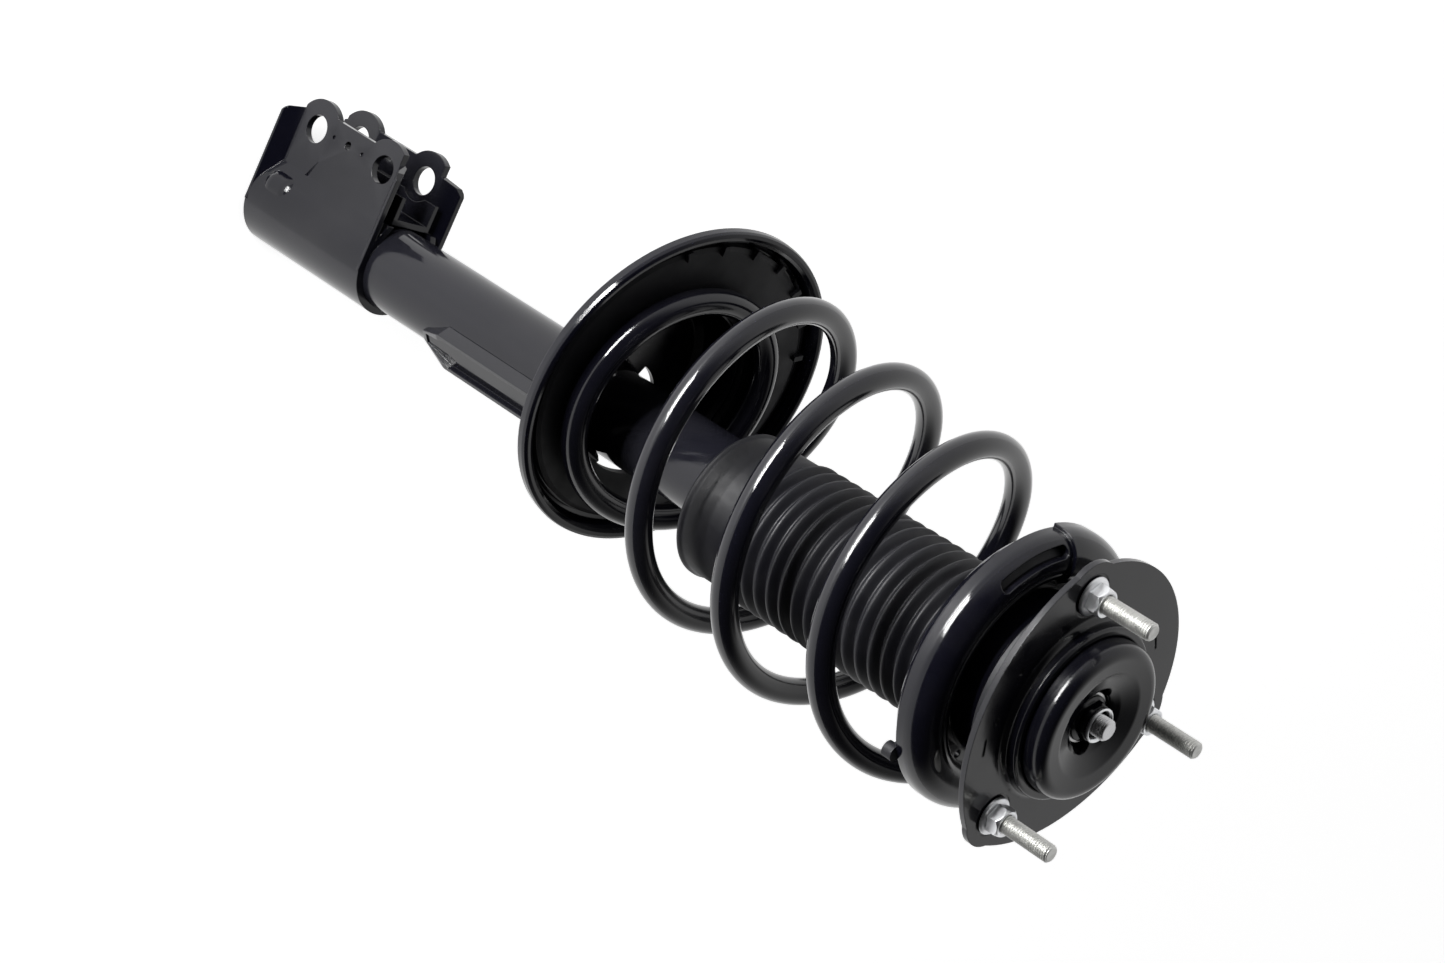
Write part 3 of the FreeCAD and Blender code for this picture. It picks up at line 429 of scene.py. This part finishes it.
def coil_spring():
    """Spring wire with softly broken ends.
    """
    step = 2.0
    around = 40
    angles = [FIRST_ANGLE + step * k for k in range(int((LAST_ANGLE - FIRST_ANGLE) / step) + 1)]
    verts, shares = [], []
    rings = [(angles[0], 0.0, 0.0), (angles[0], 0.86, 0.0)]
    rings += [(a, 1.0, 1.2 if a == angles[0] else 0.0) for a in angles]
    rings += [(angles[-1], 0.86, 1.2), (angles[-1], 0.0, 1.2)]
    for angle, scale, ahead in rings:
        here = spring_point(angle)
        along = (spring_point(angle + 0.5) - spring_point(angle - 0.5)).normalized()
        out = Vector((here.x, here.y - SPRING_POINT.y * 0.5, 0)).normalized()
        side = along.cross(out).normalized()
        out = side.cross(along).normalized()
        share = 1 - clip_unit((angle - LEAVE_LOW) / (JOIN_TOP - LEAVE_LOW))
        for k in range(around):
            turn = 2 * math.pi * k / around
            spoke = out * math.cos(turn) + side * math.sin(turn)
            verts.append(here + along * ahead + spoke * WIRE_R * scale)
            shares.append(share)
    obj = add_mesh("spring_wire", verts, grid_faces(len(rings), around))
    dress(obj, "spring_coating", None, "coil_spring")
    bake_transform(obj)
    return obj


def boot_centre(height):
    """Sideways sag of the boot at a height."""
    top = BOOT_SKIRT_TOP + BOOT_FOLDS * BOOT_PITCH
    share = clip_unit((top - height) / (top - BOOT_LIP_Z))
    return 0.0, -(BOOT_SAG_TOP + (BOOT_SAG - BOOT_SAG_TOP) * share) * min(share * 12 + 0.4, 1.0)


def dust_boot():
    """Bellows with rounded folds, a plain skirt and a beaded lip."""
    outer = [(BOOT_LIP_R - 2.4, BOOT_LIP_Z), (BOOT_LIP_R - 0.8, BOOT_LIP_Z + 0.3),
             (BOOT_LIP_R, BOOT_LIP_Z + 1.2), (BOOT_LIP_R, BOOT_LIP_Z + 2.6),
             (BOOT_LIP_R - 0.8, BOOT_LIP_Z + 3.6),
             (BOOT_CREST_R - 2.0, BOOT_LIP_Z + 5.0), (BOOT_CREST_R - 2.0, BOOT_SKIRT_TOP - 2.0)]
    steps = 14
    for fold in range(BOOT_FOLDS):
        for k in range(steps):
            share = k / steps
            lift = abs(math.sin(math.pi * share)) ** 1.35
            radius = BOOT_ROOT_R + (BOOT_CREST_R - BOOT_ROOT_R) * lift
            outer.append((radius, BOOT_SKIRT_TOP + (fold + share) * BOOT_PITCH))
    top = BOOT_SKIRT_TOP + BOOT_FOLDS * BOOT_PITCH
    outer += [(BOOT_ROOT_R, top), (BOOT_ROOT_R - 2, top + 1.2), (33.0, top + 1.4),
              (BOOT_NECK_R, top + 2.4), (BOOT_NECK_R, BOOT_NECK_Z)]
    inner = [(r - BOOT_WALL, z) for r, z in outer[3:-1]]
    inner = [(BOOT_LIP_R - 4.4, BOOT_LIP_Z)] + inner + [(30.0, BOOT_NECK_Z)]
    obj = turned("boot_bellows", outer + inner[::-1], 128, boot_centre)
    dress(obj, "boot_rubber", "upper_seat", "dust_boot")
    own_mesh(obj)
    return obj


def thread_profile(phase):
    """Height of a rounded 60 degree thread over one pitch, 0 at the root and 1 at the crest."""
    rise = abs(phase * 2 - 1)
    return clip_unit((rise - 0.12) / 0.76)


def threaded_rod(name, foot, radius, pitch, low, high, chamfer):
    """Turned rod that ends in a real helical thread with a chamfered tip."""
    around = 40
    depth = pitch * 0.54
    steps = int((high - low) / (pitch / 12))
    rows = [[(r, z)] * around for r, z in foot]
    for step in range(steps + 1):
        z = low + (high - low) * step / steps
        row = []
        for k in range(around):
            phase = (z / pitch - k / around) % 1.0
            r = radius - depth * (1 - thread_profile(phase))
            row.append((min(r, radius - chamfer + (high - z)), z))
        rows.append(row)
    rows.append([(radius - chamfer - 0.9, high)] * around)
    rows.append([(0.01, high - 0.15)] * around)
    return ring_rows(name, rows)


def ring_rows(name, rows, closed=False, sharp=0):
    """Skin over rings of (radius, height) points, one point for each step round Z."""
    around = len(rows[0])
    verts = []
    for row in rows:
        for k, (r, z) in enumerate(row):
            turn = 2 * math.pi * k / around
            verts.append((r * math.cos(turn), r * math.sin(turn), z))
    return add_mesh(name, verts, grid_faces(len(rows), around, True, closed), True, sharp)


def hexagon_outline(half):
    """Radius of a hexagon at each step round it, from half its width across flats."""
    outline = []
    for k in range(NUT_STEPS):
        turn = (360.0 * k / NUT_STEPS + 30.0) % 60.0 - 30.0
        outline.append(half / math.cos(math.radians(turn)) - 0.02)
    return outline


def flange_nut(name):
    """Hexagon nut with a domed chamfer on a rounded flange."""
    half = NUT_FLATS / 2
    outline = hexagon_outline(half)
    rows = []
    for r, z in ((4.9, 0.05), (10.2, 0.05), (10.8, 0.4), (10.9, 0.9), (10.6, 1.5), (9.9, 2.0)):
        rows.append([(r, z)] * NUT_STEPS)
    for limit, z in ((9.0, 2.5), (8.7, 2.9), (8.66, 7.6)):
        rows.append([(min(r, limit), z) for r in outline])
    for step in range(9):
        z = 7.8 + (NUT_HEIGHT - 7.85) * step / 8
        dome = half - 0.35 + (NUT_HEIGHT - z) * 0.75
        rows.append([(min(r, dome), z) for r in outline])
    for r, z in ((6.3, NUT_HEIGHT - 0.02), (5.9, NUT_HEIGHT - 0.1), (4.9, NUT_HEIGHT - 0.9)):
        rows.append([(r, z)] * NUT_STEPS)
    return ring_rows(name, rows, True, 28)


def hexagon_body(name):
    """Flanged hexagon under the rod nut's crown, with a stepped bore round the rod."""
    outline = hexagon_outline(ROD_NUT_FLATS / 2)
    rows = [[(r, z)] * NUT_STEPS for r, z in ((6.2, 11.05), (12.8, 11.05), (12.95, 11.6), (12.7, 12.4))]
    for limit, z in ((11.2, 13.2), (11.0, 13.6), (11.0, 16.2)):
        rows.append([(min(r, limit), z) for r in outline])
    for r, z in ((9.9, 17.5), (8.9, 17.6), (8.8, 18.4), (7.7, 18.4), (7.0, 16.8), (6.2, 16.0)):
        rows.append([(r, z)] * NUT_STEPS)
    return ring_rows(name, rows, True, 28)


def three_round(name, single):
    """Three copies of a piece at the stud places, as one mesh."""
    merged = bmesh.new()
    for angle in STUD_ANGLES:
        copy = single.data.copy()
        turn = Matrix.Rotation(math.radians(angle + 17.0), 4, "Z")
        copy.transform(Matrix.Translation(polar(STUD_CIRCLE_R, angle) * MM) @ turn)
        merged.from_mesh(copy)
        bpy.data.meshes.remove(copy)
    merged.to_mesh(single.data)
    merged.free()
    single.name = name
    return single


def fasteners():
    """Mount studs with real threads and their flange nuts."""
    foot = [(0.01, -6.5), (8.6, -6.5), (9.0, -6.1), (9.0, -4.0), (8.7, -3.6), (4.6, -3.55), (4.6, 9.0)]
    stud = threaded_rod("stud", foot, 5.0, 1.5, 9.2, 39.95, 1.0)
    dress(three_round("mount_studs_threaded", stud), "dull_zinc", "top_mount", "mount_studs")
    nut = flange_nut("nut")
    dress(three_round("stud_nuts_hexagon", nut), "bright_zinc", "top_mount", "stud_nuts")
    crown = turned("rod_nut_crown", [(7.9, 18.3), (9.5, 18.3), (9.85, 18.8), (9.85, 19.9), (9.4, 20.35),
                                     (8.9, 20.35), (8.3, 19.6), (7.9, 19.2)], 72)
    dress(crown, "bright_zinc", "top_mount", "rod_nut")
    # Painted shade: the hexagon body under the zinc crown gets satin black paint to stand in for the deep
    # shadow round the rod nut.
    dress(hexagon_body("rod_nut_body_painted_shade"), "satin_black_paint", "top_mount", "rod_nut")
    foot = [(0.01, -351.95), (6.0, -351.95), (6.95, -351.0), (6.95, -318.1),
            (10.95, -318.0), (10.98, -300.0),
            (10.98, -19.0), (10.0, -18.05), (5.9, -18.0), (5.2, 10.0)]
    rod = threaded_rod("piston_rod_threaded", foot, 6.0, 1.25, 11.0, 25.95, 1.0)
    rod.data.set_sharp_from_angle(angle=math.radians(50))
    dress(rod, "hard_chrome", "top_mount", "piston_rod")


# ============================== stage ==============================

def aim(obj, target):
    """Turns a light or camera so that it looks at a point."""
    obj.rotation_euler = (target - obj.location).to_track_quat("-Z", "Y").to_euler()


def camera():
    """Camera on the picture's own line of sight, rolled about it."""
    azimuth, elevation = math.radians(CAMERA_AZIMUTH), math.radians(CAMERA_ELEVATION)
    away = Vector((math.cos(elevation) * math.cos(azimuth), math.cos(elevation) * math.sin(azimuth),
                   math.sin(elevation)))
    right = away.cross(Vector((0, 0, 1))).normalized() * -1
    over = away.cross(right)
    roll = math.radians(CAMERA_ROLL)
    up = over * math.cos(roll) + right * math.sin(roll)
    across = up.cross(away)
    data = bpy.data.cameras.new("picture_camera")
    data.lens = LENS_MM
    data.sensor_width = SENSOR_MM
    obj = bpy.data.objects.new("picture_camera", data)
    bpy.context.scene.collection.objects.link(obj)
    turn = Matrix((across, up, away)).transposed().to_4x4()
    obj.matrix_world = Matrix.Translation(LOOK_AT + away * CAMERA_DISTANCE) @ turn
    bpy.context.scene.camera = obj
    return across, up, away


def soft_box(name, place, size, power, target=LOOK_AT):
    """Rectangular area light."""
    data = bpy.data.lights.new(name, "AREA")
    data.shape = "RECTANGLE"
    data.size, data.size_y = size
    data.energy = power
    obj = bpy.data.objects.new(name, data)
    bpy.context.scene.collection.objects.link(obj)
    obj.location = place
    aim(obj, target)
    return obj


def surroundings(across, up, away):
    """Bright studio walls with a darker side behind the camera."""
    world = bpy.data.worlds.new("studio")
    bpy.context.scene.world = world
    world.use_nodes = True
    tree = world.node_tree
    background = tree.nodes["Background"]
    place = tree.nodes.new("ShaderNodeTexCoord").outputs["Generated"]
    dark = (away * 0.75 - up * 0.55 - across * 0.1).normalized()
    dot = tree.nodes.new("ShaderNodeVectorMath")
    dot.operation = "DOT_PRODUCT"
    dot.inputs[1].default_value = dark
    tree.links.new(place, dot.inputs[0])
    span = tree.nodes.new("ShaderNodeMapRange")
    span.interpolation_type = "SMOOTHSTEP"
    span.inputs["From Min"].default_value = -0.1
    span.inputs["From Max"].default_value = 0.6
    span.inputs["To Min"].default_value = 0.78
    span.inputs["To Max"].default_value = 0.02
    tree.links.new(dot.outputs["Value"], span.inputs["Value"])
    tree.links.new(span.outputs["Result"], background.inputs["Strength"])
    background.inputs["Color"].default_value = (1, 1, 1, 1)


def floor():
    """Plain pale floor under the foot of the bracket."""
    low = cad_box[0][2] / MM - 0.5
    size = 30000.0
    corners = [(-size, -size, low), (size, -size, low), (size, size, low), (-size, size, low)]
    obj = add_mesh("studio_floor", corners, [(0, 1, 2, 3)], False)
    paint = Paint("floor_white", (0.86, 0.86, 0.86), 0.9)
    paint.tint(paint.between(paint.noise(3, 2), 0.3, 0.7, 0.0, 0.3), (0.84, 0.84, 0.84))
    paint.set(Emission_Color=(1, 1, 1, 1), Emission_Strength=0.74)
    obj.data.materials.append(paint.material)


finish_nodes()
coil_spring()
dust_boot()
fasteners()
across, up, away = camera()
surroundings(across, up, away)
soft_box("key_box", LOOK_AT + up * 1.5 + away * 0.3 - across * 0.6, (0.9, 0.4), 30)
streak_way = (up * 0.52 - across * 0.45 + away * 0.72).normalized()
streak_side = streak_way.cross(away).cross(streak_way).normalized()
for count in range(3):
    place = LOOK_AT + streak_way * 1.7 + streak_side * (0.22 * (count - 1))
    soft_box(f"strip_light_{count + 1}", place, (0.9, 0.06), 20)
floor()
bpy.context.scene.view_settings.view_transform = "Standard"
